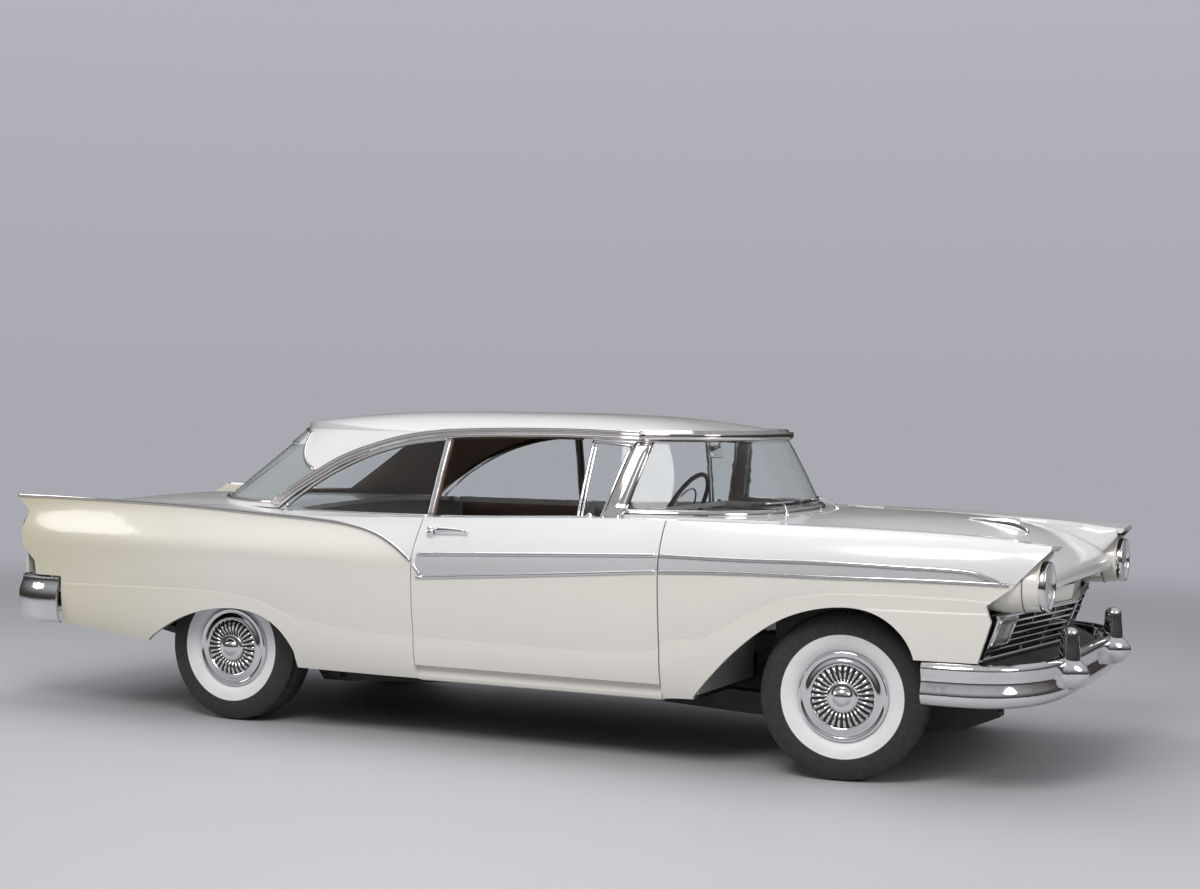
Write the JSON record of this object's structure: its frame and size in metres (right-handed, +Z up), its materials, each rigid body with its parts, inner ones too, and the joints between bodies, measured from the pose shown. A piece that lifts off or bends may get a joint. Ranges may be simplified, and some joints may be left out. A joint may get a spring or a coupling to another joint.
{
  "type": "classic car",
  "caption": "Two-door hardtop family car of the 1950s with low tail fins, a wraparound windshield, hooded headlamps, bench seats and full wheel covers.",
  "frame": {"origin": "on the ground, in the middle of the car's length and width", "axes": "+X forward, +Y to the car's left, +Z up"},
  "size_m": [5.276, 1.9322, 1.468],
  "materials": {
    "two_tone_paint": "gloss",
    "white_paint": "gloss",
    "ivory_paint": "gloss",
    "window_glass": "clear",
    "floor_paint": "satin",
    "tyre_rubber": "matte with a wide white band",
    "chrome": "polished",
    "lamp_chrome": "polished",
    "red_lens": "gloss",
    "seat_cloth": "woven",
    "dash_paint": "satin",
    "wheel_plastic": "gloss",
    "cast_parts": "satin",
    "chassis_paint": "satin"
  },
  "bodies": {
    "body": {"quarter_panel_left": "two_tone_paint", "quarter_panel_right": "two_tone_paint", "front_fender_left": "two_tone_paint", "front_fender_right": "two_tone_paint", "roof": "white_paint", "windshield": "window_glass", "rear_glass": "window_glass", "rear_deck": "white_paint", "cowl": "white_paint", "floor_pan": "floor_paint", "rear_axle": "chassis_paint", "nose_panel": "ivory_paint", "headlamps": "lamp_chrome", "grille": "chrome", "front_bumper": "chrome", "rear_bumper": "chrome", "rear_panel": "ivory_paint", "tail_lamps": "red_lens", "front_seat": "seat_cloth", "rear_seat": "seat_cloth", "dashboard": "dash_paint", "steering_column": "wheel_plastic", "frame": "chassis_paint", "engine_block": "cast_parts", "driveline": "cast_parts", "front_suspension": "chassis_paint", "exhaust": "chassis_paint", "fuel_tank": "chassis_paint"},
    "door_left": {"door_left": "two_tone_paint", "vent_window_left": "window_glass"},
    "door_right": {"door_right": "two_tone_paint", "vent_window_right": "window_glass"},
    "hood": {"hood": "white_paint"},
    "trunk_lid": {"trunk_lid": "white_paint"},
    "knuckle_left": {"knuckle_left": "cast_parts"},
    "knuckle_right": {"knuckle_right": "cast_parts"},
    "front_wheel_left": {"front_wheel_left": "chrome", "front_tyre_left": "tyre_rubber"},
    "front_wheel_right": {"front_wheel_right": "chrome", "front_tyre_right": "tyre_rubber"},
    "rear_wheel_left": {"rear_wheel_left": "chrome", "rear_tyre_left": "tyre_rubber"},
    "rear_wheel_right": {"rear_wheel_right": "chrome", "rear_tyre_right": "tyre_rubber"},
    "steering_wheel": {"steering_wheel": "wheel_plastic"}
  },
  "joints": [
    {"name": "door_left_hinge", "type": "hinge", "parent": "body", "child": "door_left", "pos_m": [0.945, 0.966, 0.6], "axis": [0, 0, -1], "range_deg": [0, 65]},
    {"name": "door_right_hinge", "type": "hinge", "parent": "body", "child": "door_right", "pos_m": [0.945, -0.966, 0.6], "axis": [0, 0, 1], "range_deg": [0, 65]},
    {"name": "hood_hinge", "type": "hinge", "parent": "body", "child": "hood", "pos_m": [2.47, 0, 0.79], "axis": [0, 1, 0], "range_deg": [0, 45]},
    {"name": "trunk_lid_hinge", "type": "hinge", "parent": "body", "child": "trunk_lid", "pos_m": [-1.868, 0, 1.028], "axis": [0, 1, 0], "range_deg": [0, 60]},
    {"name": "steer_right", "type": "hinge", "parent": "body", "child": "knuckle_right", "pos_m": [1.708, -0.6945, 0.345], "axis": [0, 0, 1], "range_deg": [-41, 25]},
    {"name": "steer_left", "type": "hinge", "parent": "body", "child": "knuckle_left", "pos_m": [1.708, 0.6945, 0.345], "axis": [0, 0, 1], "range_deg": [-41, 25]},
    {"name": "front_wheel_left_spin", "type": "hinge", "parent": "knuckle_left", "child": "front_wheel_left", "pos_m": [1.70034, 0.74896, 0.345], "axis": [-0.1392, 0.9903, 0], "continuous": true},
    {"name": "front_wheel_right_spin", "type": "hinge", "parent": "knuckle_right", "child": "front_wheel_right", "pos_m": [1.71565, -0.74896, 0.345], "axis": [-0.1392, 0.9903, 0], "continuous": true},
    {"name": "rear_wheel_left_spin", "type": "hinge", "parent": "body", "child": "rear_wheel_left", "pos_m": [-1.289, 0.7165, 0.345], "axis": [0, 1, 0], "continuous": true},
    {"name": "rear_wheel_right_spin", "type": "hinge", "parent": "body", "child": "rear_wheel_right", "pos_m": [-1.289, -0.7165, 0.345], "axis": [0, 1, 0], "continuous": true},
    {"name": "steering_wheel_turn", "type": "hinge", "parent": "body", "child": "steering_wheel", "pos_m": [0.5, 0.385, 0.985], "axis": [-0.891, 0, 0.454], "range_deg": [-820, 500]}
  ],
  "couplings": [
    {"joint": "steer_left", "follows": "steer_right", "ratio": 1},
    {"joint": "steering_wheel_turn", "follows": "steer_right", "ratio": 20}
  ]
}
